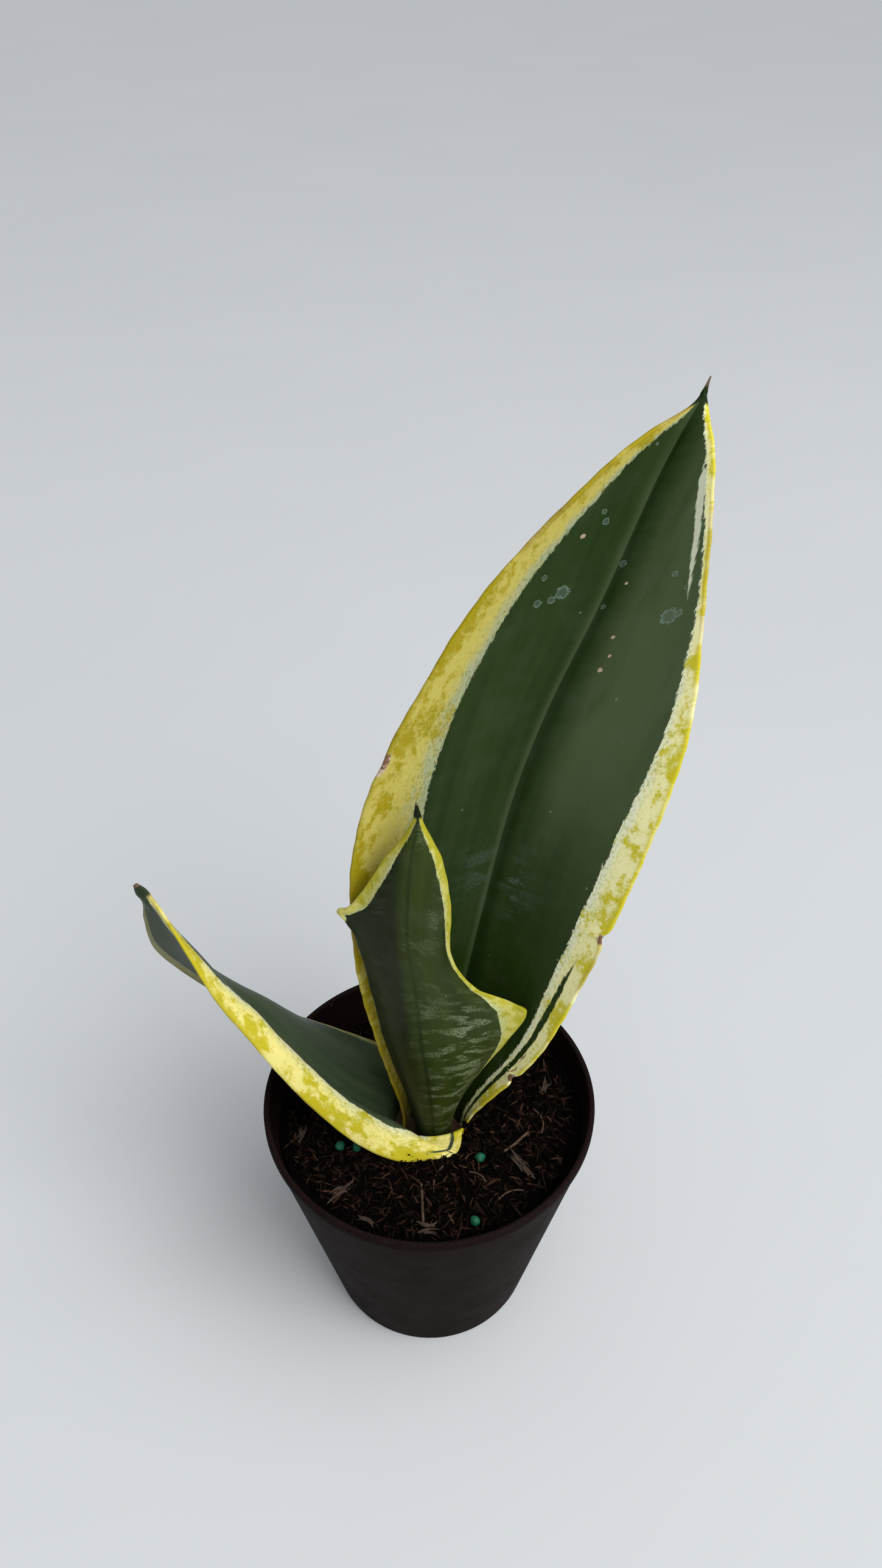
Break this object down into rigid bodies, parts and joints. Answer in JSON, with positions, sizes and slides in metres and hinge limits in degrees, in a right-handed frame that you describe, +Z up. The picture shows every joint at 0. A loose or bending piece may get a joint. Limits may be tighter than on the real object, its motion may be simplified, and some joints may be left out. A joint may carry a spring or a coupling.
{
  "type": "potted snake plant",
  "caption": "Snake plant with broad yellow-edged leaves in a thin round black nursery pot filled with dark potting mix.",
  "frame": {"origin": "centre of the pot's flat underside", "axes": "+Z up along the pot's axis; -Y is the side that the tall leaf's inner face looks towards; +X is the side that its tip leans to"},
  "size_m": [0.1427, 0.1, 0.2944],
  "materials": {
    "pot": "thin black moulded plastic, soft sheen",
    "soil": "dark damp coco-peat and bark mix, fully rough",
    "leaf": "waxy leaf, dark green inside a mottled yellow and cream edge",
    "root": "pale orange-brown rootstock and roots, matte",
    "pellet": "green coated feed pellet",
    "straw": "dry straw and fibre",
    "bark": "rough bark flake"
  },
  "bodies": {
    "root": {"pot": "pot", "soil": "soil", "rhizome": "root", "leaf_tall": "leaf", "leaf_young": "leaf", "leaf_side": "leaf", "pellet_1": "pellet", "pellet_2": "pellet", "pellet_3": "pellet", "pellet_4": "pellet", "pellet_5": "pellet", "straw_1": "straw", "straw_2": "straw", "fibre_1": "straw", "fibre_2": "straw", "fibre_3": "straw", "fibre_4": "straw", "flake_1": "bark", "flake_2": "bark", "flake_3": "bark", "flake_4": "bark", "flake_5": "bark", "flake_6": "bark"}
  },
  "joints": []
}
